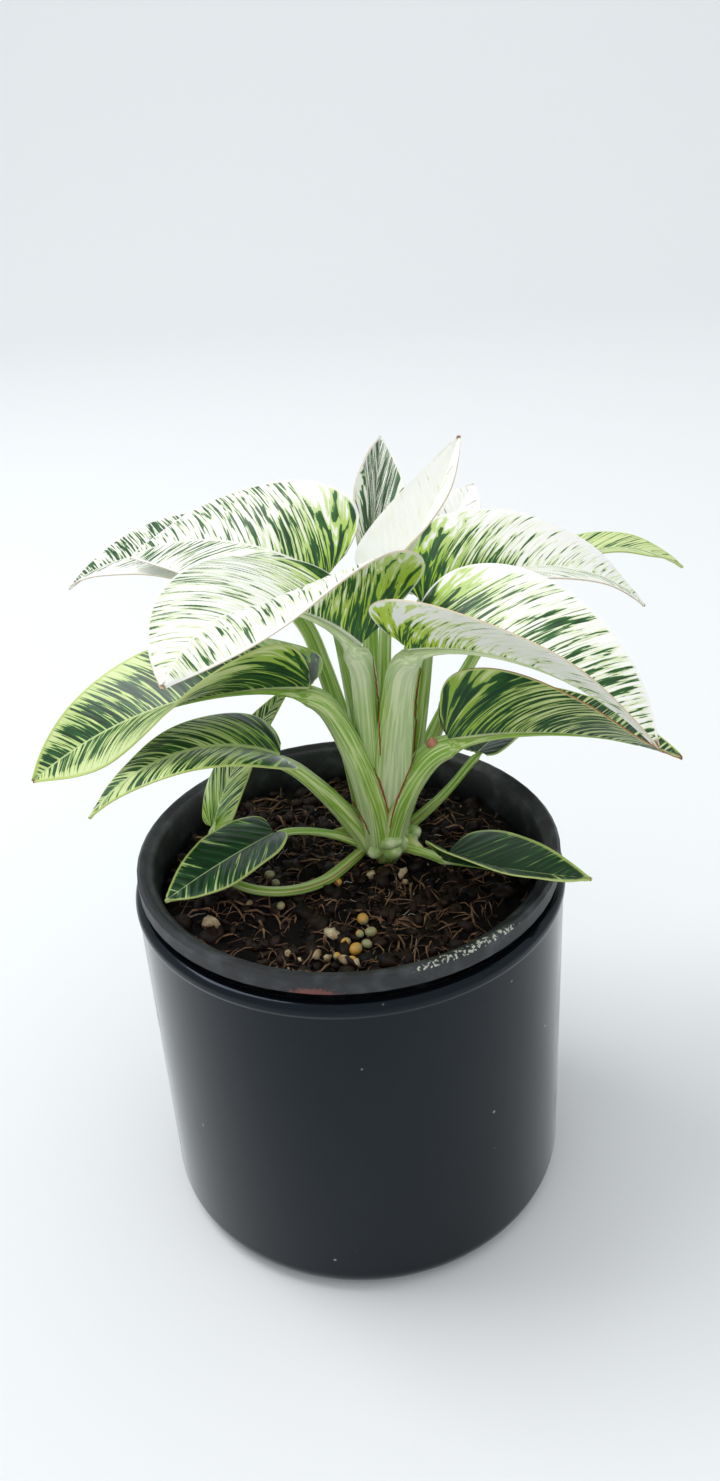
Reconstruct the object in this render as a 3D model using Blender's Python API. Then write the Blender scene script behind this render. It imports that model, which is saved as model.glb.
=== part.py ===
"""Philodendron birkin in a plastic nursery pot that stands inside a glazed cachepot.

Units are metres, +Z is up, and the origin is the centre of the cachepot's flat foot.
The front of the plant faces -Y. Leaf sizes below are in millimetres and degrees.
"""
import math

import bmesh
import bpy
import numpy as np
from mathutils import Vector, noise

MM = 0.001
GAP = 0.0003                    # clearance between neighbouring pieces
KEEPOUT = 0.0004                # clearance kept round each blade
BASE_SETBACK = 0.0014           # the blade starts this far past the end of its stalk
TIP_SHARE = 0.98                # the blade ends blunt at this share of its length

# cachepot: glazed ceramic cylinder with a rounded foot corner and a slim rim band
CACHEPOT_RADIUS = 0.0662
CACHEPOT_HEIGHT = 0.1153
CACHEPOT_WALL = 0.0044
CACHEPOT_FLOOR = 0.0050
CACHEPOT_CORNER = 0.0077
RIM_BAND = 0.0045               # height of the band under the lip
RIM_BAND_RELIEF = 0.0005        # how far the band stands out

# nursery pot: thin tapered plastic pot with a stepped rim
POT_TOP = 0.1238
POT_RIM_RADIUS = 0.0650
POT_RIM_HEIGHT = 0.0062
POT_RIM_INNER_RADIUS = 0.0612
POT_WALL = 0.0013
POT_NECK_RADIUS = 0.0604        # outside of the wall just under the rim
POT_FOOT_RADIUS = 0.0480
POT_FLOOR = 0.0018
DRAIN_COUNT = 6
DRAIN_RADIUS = 0.0040
DRAIN_CIRCLE = 0.0320

# potting mix
SOIL_LEVEL = 0.1120
SOIL_RELIEF = 0.0016
CALM_RADIUS = 0.0120            # the mix is level this far round the crown
SOIL_SEED_OFFSET = Vector((3.1, 7.7, 1.9))

# crown: the short stem that all leaf stalks sheathe
CROWN = Vector((0.0120, 0.0150, 0.0))
CROWN_RADIUS = 0.0088
CROWN_ROOT = 0.1030             # bottom of the buried end
CROWN_TOP = 0.1250

BLADE_THICKNESS = 0.0008
MIDRIB_THICKNESS = 0.0016
LENGTH_STEPS = 12
WIDTH_STEPS = 8
STALK_SIDES = 8
STALK_RINGS = 8
POT_SIDES = 64

# One row for each leaf, in millimetres and degrees.
# foot: where the stalk leaves the crown.
# stalk: heading (0 = +X, 90 = +Y), length, pitch at its foot, pitch at its top, turn.
# blade: turn from the stalk's heading, pitch at the base, pitch at the tip, sideways bend,
#        length, half width.
# fold: how far each half rises from flat, at the base and at the tip.
# roll: tilt about the midrib, at the base and at the tip. curl: droop of each half.
# girth: stalk half widths at its foot and at its top.
LEAVES = {
    "leaf_front_left": dict(
        foot=(10, 8, 124), stalk=(231, 62, 85, 89, 1), girth=(4.6, 4.4),
        blade=(-25, 53, -24, 44, 88, 32.5), fold=(68, -10), roll=(26, -18), curl=30),
    "leaf_front_right": dict(
        foot=(14, 9, 124), stalk=(-68, 68, 84, 69, -2), girth=(5.2, 4.2),
        blade=(38, 18, -43, 2, 78, 29), fold=(40, 42), roll=(-10, 3), curl=3),
    "leaf_newest_upright": dict(
        foot=(12, 13, 124), stalk=(68, 73, 82, 82, -9), girth=(3, 2),
        blade=(-20, 39, 63, 0, 51, 14.5), fold=(52, 25), roll=(-11, 7), curl=7),
    "leaf_young_rear_right": dict(
        foot=(13, 22, 122), stalk=(66, 68, 65, 52, -7), girth=(3, 2),
        blade=(-7, 55, 11, 10, 50, 15), fold=(29, 18), roll=(3, 10), curl=11),
    "leaf_rear_upright": dict(
        foot=(11, 22, 121), stalk=(90, 73, 70, 58, -6), girth=(4, 2.6),
        blade=(-11, 63, 34, 8, 52, 14.5), fold=(54, 27), roll=(41, 15), curl=2),
    "leaf_upper_right": dict(
        foot=(17, 17, 121), stalk=(43, 67, 68, 82, 10), girth=(4.4, 3.4),
        blade=(-41, 33, -48, 0, 81, 27), fold=(42, 11), roll=(7, 13), curl=16),
    "leaf_rear_left": dict(
        foot=(9, 19, 121), stalk=(126, 78, 84, 74, 1), girth=(4.2, 3),
        blade=(31, 31, -27, 0, 71, 26.5), fold=(37, 1), roll=(-25, -18), curl=19),
    "leaf_far_left": dict(
        foot=(7, 20, 119), stalk=(121, 71, 74, 54, 3), girth=(4.2, 2.8),
        blade=(27, 32, -38, 0, 100, 24), fold=(33, 15), roll=(-2, -26), curl=16),
    "leaf_far_right": dict(
        foot=(18, 20, 119), stalk=(49, 87, 53, 29, -7), girth=(3.4, 2),
        blade=(-18, 31, -38, -12, 69, 12.5), fold=(21, 15), roll=(-22, 25), curl=16),
    "leaf_lower_left": dict(
        foot=(10, 7, 118), stalk=(190, 60, 88, 59, -2), girth=(5.2, 4),
        blade=(-21, 2, -36, 22, 94, 31), fold=(31, 14), roll=(32, -45), curl=14),
    "leaf_lower_right": dict(
        foot=(12.5, 6.5, 116.5), stalk=(6.0, 41.0, 84, 39, 0), girth=(5, 4.4),
        blade=(-2.0, 7, -27, -5, 77, 24), fold=(57, 17), roll=(-42, 7), curl=3),
    "leaf_low_left": dict(
        foot=(7, 8, 116), stalk=(192, 45, 65, 46, 2), girth=(3.6, 2.6),
        blade=(6, 40, -46, 1, 65, 18), fold=(27, 2), roll=(-4, 10), curl=24),
    "leaf_on_curled_stalk": dict(
        foot=(-4, -5, 115.5), stalk=(233, 63, 1, 9, -162), girth=(1.9, 1.6),
        blade=(-41, 70, 33, 0, 54, 9.5), fold=(13, 11), roll=(1, 6), curl=20),
    "leaf_small_left": dict(
        foot=(6, 8, 115.5), stalk=(199, 33, 42, 13, 5), girth=(2, 1.4),
        blade=(5, -7, -20, 0, 40, 14.5), fold=(20, 7), roll=(15, -25), curl=17),
    "leaf_small_right": dict(
        foot=(16, 7, 115.8), stalk=(-40, 17, 7, 3, -4), girth=(2.2, 1.6),
        blade=(0, 13, 13, 9, 52, 15.5), fold=(37, 23), roll=(-23, 12), curl=9),
    "leaf_small_rear": dict(
        foot=(18, 16, 115.8), stalk=(17, 34, 26, 46, 11), girth=(2.2, 1.5),
        blade=(18, 13, -25, 3, 32, 9), fold=(18, 11), roll=(-10, -3), curl=18),
}

# how much wider than their girth the broad sheaths are
SHEATH_SWELL = {"leaf_lower_left": 0.32, "leaf_lower_right": 0.26, "leaf_front_right": 0.30,
                "leaf_low_left": 0.30}

# bud scales and knobs round the foot of the crown: heading, distance, height, radius in mm
KNOBS = ((262, 9.5, 116.0, 3.0), (292, 10.5, 117.5, 3.2), (318, 10.0, 115.8, 2.8),
         (236, 9.5, 115.6, 2.6), (345, 9.5, 116.5, 2.6))
# papery scale left of the crown and the sheath tip above it: heading, pitch, length, radius
SCALES = ((205, 22, 17, 2.0), (197, 52, 24, 2.4), (310, 2, 15, 1.8))

GLAZE_BLACK = (0.022, 0.025, 0.029)
PLASTIC_BLACK = (0.030, 0.031, 0.033)
SOIL_BROWN = (0.045, 0.030, 0.022)
STALK_GREEN = (0.36, 0.47, 0.17)
LEAF_PALE = (0.72, 0.78, 0.62)
LEAF_GREEN = (0.10, 0.22, 0.07)
WHITE_LEAVES = ("leaf_front_left", "leaf_front_right", "leaf_newest_upright",
                "leaf_young_rear_right", "leaf_upper_right", "leaf_rear_left")


def clear_scene():
    for old in list(bpy.data.objects):
        bpy.data.objects.remove(old, do_unlink=True)


def make_material(name, color, roughness):
    material = bpy.data.materials.new(name)
    material.use_nodes = True
    shader = material.node_tree.nodes["Principled BSDF"]
    shader.inputs["Base Color"].default_value = (*color, 1.0)
    shader.inputs["Roughness"].default_value = roughness
    shader.inputs["Metallic"].default_value = 0.0
    return material


def add_object(name, bm, material, sharp_angle=35):
    bmesh.ops.recalc_face_normals(bm, faces=bm.faces)
    mesh = bpy.data.meshes.new(name)
    bm.to_mesh(mesh)
    bm.free()
    mesh.materials.append(material)
    mesh.shade_smooth()
    mesh.set_sharp_from_angle(angle=math.radians(sharp_angle))
    piece = bpy.data.objects.new(name, mesh)
    bpy.context.scene.collection.objects.link(piece)
    return piece


def apply_modifiers(piece):
    view = bpy.context.evaluated_depsgraph_get()
    mesh = bpy.data.meshes.new_from_object(piece.evaluated_get(view))
    piece.modifiers.clear()
    piece.data = mesh


def remove_object(piece):
    bpy.data.objects.remove(piece, do_unlink=True)


def collect(name, pieces):
    group = bpy.data.collections.new(name)
    bpy.context.scene.collection.children.link(group)
    for piece in pieces:
        group.objects.link(piece)
    return group


def boolean_with_group(piece, pieces, operation, solver="EXACT"):
    group = collect("operands", pieces)
    modifier = piece.modifiers.new(operation.lower(), "BOOLEAN")
    modifier.operation = operation
    modifier.solver = solver
    modifier.operand_type = "COLLECTION"
    modifier.collection = group
    apply_modifiers(piece)
    for used in pieces:
        remove_object(used)
    bpy.data.collections.remove(group)


def lathe(profile, sides):
    """Turn a closed (radius, height) profile about Z into a ring-shaped solid."""
    bm = bmesh.new()
    rings = []
    for radius, height in profile:
        if radius < 1e-6:
            rings.append([bm.verts.new((0.0, 0.0, height))])
            continue
        rings.append([bm.verts.new((radius * math.cos(2 * math.pi * k / sides),
                                    radius * math.sin(2 * math.pi * k / sides), height))
                      for k in range(sides)])
    for lower, upper in zip(rings, rings[1:]):
        for k in range(sides):
            n = (k + 1) % sides
            corners = [lower[k % len(lower)], lower[n % len(lower)],
                       upper[n % len(upper)], upper[k % len(upper)]]
            unique = list(dict.fromkeys(corners))
            if len(unique) > 2:
                bm.faces.new(unique)
    return bm


def build_cachepot(material):
    radius, height, corner = CACHEPOT_RADIUS, CACHEPOT_HEIGHT, CACHEPOT_CORNER
    inner = radius - CACHEPOT_WALL
    band = radius + RIM_BAND_RELIEF
    lip = CACHEPOT_WALL / 2
    profile = [(0.0, 0.0)]
    for step in range(6):
        angle = math.radians(18 * step)
        profile.append((radius - corner + corner * math.sin(angle),
                        corner - corner * math.cos(angle)))
    profile += [(radius, height - RIM_BAND - 0.0008), (band, height - RIM_BAND)]
    for step in range(6):
        angle = math.radians(36 * step)
        profile.append((radius - lip + (lip + RIM_BAND_RELIEF * (step < 3)) * math.cos(angle),
                        height - lip + lip * math.sin(angle)))
    profile += [(inner, CACHEPOT_FLOOR + 0.006), (inner - 0.006, CACHEPOT_FLOOR),
                (0.0, CACHEPOT_FLOOR)]
    return add_object("cachepot", lathe(profile, POT_SIDES), material)


def build_nursery_pot(material):
    base = CACHEPOT_FLOOR + GAP
    rim_low = POT_TOP - POT_RIM_HEIGHT
    step_height = POT_TOP - 0.0012
    profile = [
        (0.0, base), (POT_FOOT_RADIUS - 0.002, base), (POT_FOOT_RADIUS, base + 0.002),
        (POT_NECK_RADIUS, rim_low - 0.004), (POT_NECK_RADIUS + 0.0004, rim_low + 0.0008),
        (POT_RIM_RADIUS - 0.0008, rim_low), (POT_RIM_RADIUS, rim_low + 0.0008),
        (POT_RIM_RADIUS, POT_TOP - 0.0010), (POT_RIM_RADIUS - 0.0010, POT_TOP),
        (POT_RIM_RADIUS - 0.0022, POT_TOP), (POT_RIM_RADIUS - 0.0026, step_height),
        (POT_RIM_INNER_RADIUS, step_height), (POT_RIM_INNER_RADIUS - 0.0014, step_height - 0.001),
        (POT_NECK_RADIUS - POT_WALL, rim_low - 0.006),
        (POT_FOOT_RADIUS - POT_WALL, base + POT_FLOOR + 0.002),
        (POT_FOOT_RADIUS - POT_WALL - 0.002, base + POT_FLOOR), (0.0, base + POT_FLOOR)]
    pot = add_object("nursery_pot", lathe(profile, POT_SIDES), material)
    cutters = []
    for index in range(DRAIN_COUNT):
        angle = 2 * math.pi * (index + 0.5) / DRAIN_COUNT
        bm = bmesh.new()
        bmesh.ops.create_cone(bm, cap_ends=True, segments=12, radius1=DRAIN_RADIUS,
                              radius2=DRAIN_RADIUS, depth=0.01)
        bmesh.ops.translate(bm, verts=bm.verts, vec=(DRAIN_CIRCLE * math.cos(angle),
                                                     DRAIN_CIRCLE * math.sin(angle), base))
        cutters.append(add_object("drain_cutter", bm, material))
    boolean_with_group(pot, cutters, "DIFFERENCE")
    return pot


def soil_height(x, y):
    """Lumpy top of the potting mix, calm where the crown stands in it."""
    point = Vector((x, y, 0.0))
    lumps = noise.noise(point * 120 + SOIL_SEED_OFFSET)
    crumbs = noise.noise(point * 320 + SOIL_SEED_OFFSET)
    calm = min(1.0, max(0.0, (point - CROWN).length - CALM_RADIUS) / 0.012)
    edge = max(0.0, (point.length - 0.045) / 0.014)
    return SOIL_LEVEL + calm * SOIL_RELIEF * (0.8 * lumps + 0.5 * crumbs) - 0.0012 * edge


def pot_inside_radius(z):
    low = CACHEPOT_FLOOR + GAP + POT_FLOOR + 0.002
    high = POT_TOP - POT_RIM_HEIGHT - 0.006
    share = (z - low) / (high - low)
    return (POT_FOOT_RADIUS - POT_WALL) * (1 - share) + (POT_NECK_RADIUS - POT_WALL) * share


def build_soil(material):
    low = CACHEPOT_FLOOR + 2 * GAP + POT_FLOOR + 0.0020
    sides, rings = 40, 11
    outer = pot_inside_radius(SOIL_LEVEL - 0.004) - 0.0008
    profile = [(0.0, low), (pot_inside_radius(low) - 0.0008, low), (outer, SOIL_LEVEL - 0.004)]
    profile += [(outer * (1 - k / rings), SOIL_LEVEL) for k in range(rings + 1)]
    bm = lathe(profile, sides)
    for vert in bm.verts:
        if vert.co.z > SOIL_LEVEL - 1e-5:
            vert.co.z = soil_height(vert.co.x, vert.co.y)
    soil = add_object("soil", bm, material, sharp_angle=25)
    bm = bmesh.new()
    bmesh.ops.create_cone(bm, cap_ends=True, segments=20, radius1=CROWN_RADIUS + GAP,
                          radius2=CROWN_RADIUS + GAP, depth=0.03)
    bmesh.ops.translate(bm, verts=bm.verts,
                        vec=CROWN + Vector((0, 0, CROWN_ROOT - GAP + 0.015)))
    cutter = add_object("crown_hole", bm, material)
    modifier = soil.modifiers.new("crown_hole", "BOOLEAN")
    modifier.operation = "DIFFERENCE"
    modifier.object = cutter
    apply_modifiers(soil)
    remove_object(cutter)
    return soil


def heading_vector(heading, pitch):
    return Vector((math.cos(heading) * math.cos(pitch), math.sin(heading) * math.cos(pitch),
                   math.sin(pitch)))


def stalk_path(leaf, steps=STALK_RINGS):
    """Points along the leaf stalk, from the crown to the blade."""
    heading, length, pitch_low, pitch_high, turn = leaf["stalk"]
    points = [Vector(leaf["foot"]) * MM]
    for k in range(steps):
        share = (k + 0.5) / steps
        step = heading_vector(math.radians(heading + turn * share),
                              math.radians(pitch_low + (pitch_high - pitch_low) * share))
        points.append(points[-1] + step * length * MM / steps)
    return points


def leaf_outline(share):
    """Edge of the flat leaf: distance along it and half width, both as shares."""
    along = share - 0.28 * math.sin(math.pi * share) * (1 - share) ** 2
    return along, math.sin(math.pi * share ** 0.58) ** 0.9


def blade_surface(leaf, junction, along_steps, across_steps):
    """Grid of points on the leaf's middle surface: a flat leaf bent, folded and curled."""
    turn, pitch_base, pitch_tip, bend, length, half_width = leaf["blade"]
    length, half_width = length * MM, half_width * MM
    heading = math.radians(leaf["stalk"][0] + leaf["stalk"][4] + turn)

    def pitch_at(share):
        return math.radians(pitch_base + (pitch_tip - pitch_base) * share)

    def heading_at(share):
        return heading + math.radians(bend) * share

    rib_steps = 40
    rib = [junction]
    for k in range(rib_steps):
        middle = (k + 0.5) / rib_steps
        rib.append(rib[-1] + heading_vector(heading_at(middle), pitch_at(middle))
                   * length / rib_steps)

    def place(along, across):
        share = min(1.0, max(0.0, along))
        cell = min(rib_steps - 1, int(share * rib_steps))
        point = rib[cell].lerp(rib[cell + 1], share * rib_steps - cell)
        angle = heading_at(share)
        forward = heading_vector(angle, pitch_at(share))
        side = Vector((-math.sin(angle), math.cos(angle), 0.0))
        up = forward.cross(side)
        roll = math.radians(leaf["roll"][0] + (leaf["roll"][1] - leaf["roll"][0]) * share)
        side, up = (side * math.cos(roll) + up * math.sin(roll),
                    up * math.cos(roll) - side * math.sin(roll))
        fold = math.radians(leaf["fold"][0] + (leaf["fold"][1] - leaf["fold"][0]) * share)
        curl = math.radians(leaf["curl"])
        reach = abs(across) / half_width
        out = half_width * (math.sin(fold) - math.sin(fold - curl * reach)) / curl
        rise = half_width * (math.cos(fold - curl * reach) - math.cos(fold)) / curl
        return (point + forward * (along - share) * length
                + side * math.copysign(out, across) + up * rise)

    grid = []
    start = BASE_SETBACK / length
    for i in range(along_steps + 1):
        share = start + (TIP_SHARE - start) * i / along_steps
        edge_along, edge_width = leaf_outline(share)
        row = []
        for j in range(across_steps + 1):
            across = 2 * j / across_steps - 1
            row.append(place(share + (edge_along - share) * abs(across),
                             across * edge_width * half_width))
        grid.append(row)
    return grid


def blade_solid(grid, extra=0.0):
    """Close the grid into a thin solid, thickest along the midrib."""
    rows, columns = len(grid), len(grid[0])
    points = np.array([[tuple(p) for p in row] for row in grid])
    along = np.gradient(points, axis=0)
    across = np.gradient(points, axis=1)
    normals = np.cross(along, across)
    normals /= np.linalg.norm(normals, axis=2)[:, :, None]
    back = points[0] - points[1]
    points[0] += back / np.linalg.norm(back, axis=1)[:, None] * extra * 1.5
    bm = bmesh.new()
    sheets = []
    for side in (1, -1):
        sheet = []
        for i in range(rows):
            line = []
            for j in range(columns):
                rib = 1 - min(1.0, abs(2 * j / (columns - 1) - 1) * 2)
                taper = 1 - 0.3 * i / (rows - 1)
                thick = BLADE_THICKNESS + (MIDRIB_THICKNESS - BLADE_THICKNESS) * rib * taper
                offset = normals[i, j] * side * (thick / 2 + extra)
                line.append(bm.verts.new(points[i, j] + offset))
            sheet.append(line)
        sheets.append(sheet)
    for i in range(rows - 1):
        for j in range(columns - 1):
            for sheet, flip in ((sheets[0], False), (sheets[1], True)):
                a, b = sheet[i][j], sheet[i + 1][j]
                c, d = sheet[i + 1][j + 1], sheet[i][j + 1]
                for face in (((a, b, c), (a, c, d))
                             if j < (columns - 1) // 2 else ((a, b, d), (b, c, d))):
                    bm.faces.new(face[::-1] if flip else face)
    top, low = sheets
    border = ([(0, j) for j in range(columns - 1)]
              + [(i, columns - 1) for i in range(rows - 1)]
              + [(rows - 1, j) for j in range(columns - 1, 0, -1)]
              + [(i, 0) for i in range(rows - 1, 0, -1)])
    for here, there in zip(border, border[1:] + border[:1]):
        a, b = top[here[0]][here[1]], top[there[0]][there[1]]
        c, d = low[there[0]][there[1]], low[here[0]][here[1]]
        bm.faces.new((a, b, c))
        bm.faces.new((a, c, d))
    return bm


def tube(points, radii, sides=STALK_SIDES, flatten=1.0):
    """Tapered stalk along a path; its section is a little wider than deep."""
    bm = bmesh.new()
    rings = []
    for k, point in enumerate(points):
        before, after = points[max(0, k - 1)], points[min(len(points) - 1, k + 1)]
        forward = (after - before).normalized()
        side = Vector((-forward.y, forward.x, 0.0))
        side = side.normalized() if side.length > 1e-3 else Vector((0, 1, 0))
        up = forward.cross(side)
        rings.append([bm.verts.new(point + radii[k] * (
            side * math.cos(2 * math.pi * n / sides)
            + up * flatten * math.sin(2 * math.pi * n / sides))) for n in range(sides)])
    for lower, upper in zip(rings, rings[1:]):
        for n in range(sides):
            m = (n + 1) % sides
            bm.faces.new((lower[n], lower[m], upper[m], upper[n]))
    bm.faces.new(rings[0][::-1])
    bm.faces.new(rings[-1])
    return bm


def crown_parts(material):
    """The separate shapes that are fused into the crown with its leaf stalks."""
    parts = []
    heights = (CROWN_ROOT, 0.114, 0.119, CROWN_TOP)
    radii = (CROWN_RADIUS - 0.001, CROWN_RADIUS, CROWN_RADIUS - 0.0006, CROWN_RADIUS - 0.003)
    axis = [CROWN + Vector((0, 0, z)) for z in heights]
    parts.append(tube(axis, radii, sides=14))
    for name, leaf in LEAVES.items():
        path = stalk_path(leaf)
        low, high = leaf["girth"]
        count = len(path)
        widths = [(low + (high - low) * min(1.0, k / (count - 1) * 1.4)) * MM
                  for k in range(count)]
        # the broad stalks swell where their sheath wraps the crown
        for k in range(count):
            sheath = math.sin(math.pi * min(1.0, 0.25 + 0.75 * k / (count - 1))) ** 0.8
            widths[k] *= 1 + SHEATH_SWELL.get(name, 0.0) * sheath
        root = CROWN + Vector((0, 0, max(0.1160, path[0].z - 0.006)))
        if (path[0] - root).length < 0.03:
            path = [path[0].lerp(root, 0.8)] + path
            widths = [widths[0] * 0.8] + widths
        parts.append(tube(path, widths, flatten=0.8))
    for heading, distance, height, radius in KNOBS:
        bm = bmesh.new()
        bmesh.ops.create_icosphere(bm, subdivisions=1, radius=radius * MM)
        spot = heading_vector(math.radians(heading), 0) * distance * MM
        bmesh.ops.translate(bm, verts=bm.verts,
                            vec=CROWN + spot + Vector((0, 0, height * MM)))
        parts.append(bm)
    for heading, pitch, length, radius in SCALES:
        forward = heading_vector(math.radians(heading), math.radians(pitch))
        foot = CROWN + Vector((0, 0, 0.1165)) + heading_vector(math.radians(heading), 0) * 0.004
        path = [foot + forward * length * MM * share for share in (0, 0.35, 0.7, 1)]
        parts.append(tube(path, [radius * MM * r for r in (1, 1.1, 0.8, 0.25)], sides=6))
    return [add_object("crown_part", bm, material) for bm in parts]


def keep_largest_body(piece):
    """Drop the loose scraps that a cut may leave."""
    bm = bmesh.new()
    bm.from_mesh(piece.data)
    unseen = set(bm.verts)
    bodies = []
    while unseen:
        stack = [unseen.pop()]
        body = set(stack)
        while stack:
            for edge in stack.pop().link_edges:
                for vert in edge.verts:
                    if vert in unseen:
                        unseen.discard(vert)
                        body.add(vert)
                        stack.append(vert)
        bodies.append(body)
    bodies.sort(key=len)
    for body in bodies[:-1]:
        bmesh.ops.delete(bm, geom=list(body), context="VERTS")
    bm.to_mesh(piece.data)
    bm.free()


def build_plant(stalk_material, pale_material, green_material):
    pieces = crown_parts(stalk_material)
    stem = pieces[0]
    stem.name = "stem"
    # the exact solver leaves an open edge where many stalks meet
    boolean_with_group(stem, pieces[1:], "UNION", "MANIFOLD")
    keepouts = []
    for name, leaf in LEAVES.items():
        grid = blade_surface(leaf, stalk_path(leaf)[-1], LENGTH_STEPS, WIDTH_STEPS)
        material = pale_material if name in WHITE_LEAVES else green_material
        add_object(name, blade_solid(grid), material, sharp_angle=60)
        keepouts.append(add_object("keepout", blade_solid(grid, KEEPOUT), stalk_material))
    boolean_with_group(stem, keepouts, "DIFFERENCE", "MANIFOLD")
    keep_largest_body(stem)


def main():
    clear_scene()
    build_cachepot(make_material("glazed_ceramic_black", GLAZE_BLACK, 0.12))
    build_nursery_pot(make_material("matte_black_plastic", PLASTIC_BLACK, 0.45))
    build_soil(make_material("potting_mix", SOIL_BROWN, 0.95))
    build_plant(make_material("leaf_stalk_green", STALK_GREEN, 0.40),
                make_material("leaf_cream_white", LEAF_PALE, 0.35),
                make_material("leaf_dark_green", LEAF_GREEN, 0.35))


main()
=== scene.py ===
import math
import random

import bmesh
import bpy
from mathutils import Matrix, Vector, noise
from mathutils.bvhtree import BVHTree


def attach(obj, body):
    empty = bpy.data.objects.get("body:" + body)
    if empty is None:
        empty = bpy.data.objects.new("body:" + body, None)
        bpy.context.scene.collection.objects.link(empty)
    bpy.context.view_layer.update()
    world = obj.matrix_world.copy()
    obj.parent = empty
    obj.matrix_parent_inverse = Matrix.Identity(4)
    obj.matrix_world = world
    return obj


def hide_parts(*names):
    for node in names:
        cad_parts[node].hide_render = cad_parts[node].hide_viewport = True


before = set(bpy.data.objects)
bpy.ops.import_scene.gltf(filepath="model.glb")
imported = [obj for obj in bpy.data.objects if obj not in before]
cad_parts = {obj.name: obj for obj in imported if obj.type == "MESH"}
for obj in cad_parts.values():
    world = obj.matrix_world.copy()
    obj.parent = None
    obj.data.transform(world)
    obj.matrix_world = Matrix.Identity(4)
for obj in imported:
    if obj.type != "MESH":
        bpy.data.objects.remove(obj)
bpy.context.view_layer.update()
print("frame loaded:", len(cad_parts), "nodes")
mm = 0.001
scene = bpy.context.scene


def hexColour(text):
    # sRGB hex to the linear value that the shader wants
    parts = [int(text[k:k + 2], 16) / 255 for k in (1, 3, 5)]
    return tuple(p / 12.92 if p <= 0.04045 else ((p + 0.055) / 1.055) ** 2.4
                 for p in parts) + (1.0,)


def setInputs(tree, node, inputs):
    # a socket is linked, a text is an sRGB colour, and anything else is the input's own value
    for name, value in inputs.items():
        if isinstance(value, bpy.types.NodeSocket):
            tree.links.new(value, node.inputs[name])
        else:
            node.inputs[name].default_value = hexColour(value) if isinstance(value, str) else value


def addNode(tree, kind, inputs, **settings):
    # adds a node with its settings and links, and gives its outputs
    node = tree.nodes.new("ShaderNode" + kind)
    for key, value in settings.items():
        setattr(node, key, value)
    setInputs(tree, node, inputs)
    return node.outputs


def newMaterial(name):
    material = bpy.data.materials.new(name)
    material.use_nodes = True
    return material, material.node_tree, material.node_tree.nodes["Principled BSDF"]


def makeMottled(name, low, high, scale, detail=2.0, spread=None, relief=None, attribute=None,
                grainRoughness=0.5, **surface):
    # two tones by a cloud; scale counts cells a metre, or a millimetre along an attribute
    material, tree, shader = newMaterial(name)
    place = (addNode(tree, "Attribute", {}, attribute_name=attribute)["Vector"] if attribute else
            addNode(tree, "TexCoord", {})["Object"])
    cloud = addNode(tree, "TexNoise", {"Scale": scale, "Detail": detail, "Vector": place,
            "Roughness": grainRoughness})["Fac"]
    share = cloud
    if spread:
        share = addNode(tree, "MapRange", {"From Min": spread[0], "From Max": spread[1],
                "Value": cloud})[0]
    tone = addNode(tree, "Mix", {"A": low, "B": high, "Factor": share}, data_type="RGBA")
    setInputs(tree, shader, {"Base Color": tone["Result"], "Roughness": surface["roughness"],
            "IOR": surface["ior"], "Specular IOR Level": surface.get("specular", 0.5)})
    if relief:
        bump = addNode(tree, "Bump", {"Strength": relief[0], "Distance": relief[1] * mm,
                "Height": cloud})[0]
        setInputs(tree, shader, {"Normal": bump})
    return material


def linkMesh(name, bm, materials, sharpAngle=None):
    mesh = bpy.data.meshes.new(name)
    for face in bm.faces:
        face.smooth = True
    bm.to_mesh(mesh)
    bm.free()
    for material in materials:
        mesh.materials.append(material)
    if sharpAngle:
        mesh.set_sharp_from_angle(angle=math.radians(sharpAngle))
    piece = bpy.data.objects.new(name, mesh)
    scene.collection.objects.link(piece)
    return piece


def finishPiece(name, bm, materials, nodes=(), sharpAngle=None):
    piece = linkMesh(name, bm, materials, sharpAngle)
    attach(piece, "root")
    if nodes:
        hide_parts(*nodes)
    return piece


# place in metres, angles in degrees; middle and focal length in pixels of the photograph
camera = {"place": (0.0, -0.31015, 0.32981), "pitch": 28.89, "roll": -3.59, "yaw": 1.05,
          "lens": 29.17, "middle": (360, 740.5), "focal": 1200}


def makeCamera():
    pitch, roll, yaw = (math.radians(camera[k]) for k in ("pitch", "roll", "yaw"))
    forward = Vector((math.sin(yaw) * math.cos(pitch), math.cos(yaw) * math.cos(pitch),
            -math.sin(pitch)))
    level = Vector((math.cos(yaw), -math.sin(yaw), 0))
    upright = level.cross(forward)
    right = level * math.cos(roll) + upright * math.sin(roll)
    up = upright * math.cos(roll) - level * math.sin(roll)
    data = bpy.data.cameras.new("camera")
    data.lens = camera["lens"]
    data.sensor_width = 36
    data.sensor_fit = "AUTO"
    data.clip_start, data.clip_end = 0.01, 50
    rig = bpy.data.objects.new("camera", data)
    rig.matrix_world = Matrix((right, up, -forward)).transposed().to_4x4()
    rig.matrix_world.translation = Vector(camera["place"])
    scene.collection.objects.link(rig)
    scene.camera = rig
    return right, up, forward


viewRight, viewUp, viewForward = makeCamera()


def sightLine(px, py):
    # from the camera through a pixel of the photograph
    across = (px - camera["middle"][0]) / camera["focal"]
    down = (py - camera["middle"][1]) / camera["focal"]
    return viewForward + viewRight * across - viewUp * down


def spotOn(px, py, height):
    # the point at this height that the photograph shows at a pixel
    ray, place = sightLine(px, py), Vector(camera["place"])
    return place + ray * ((height - place.z) / ray.z)


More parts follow.
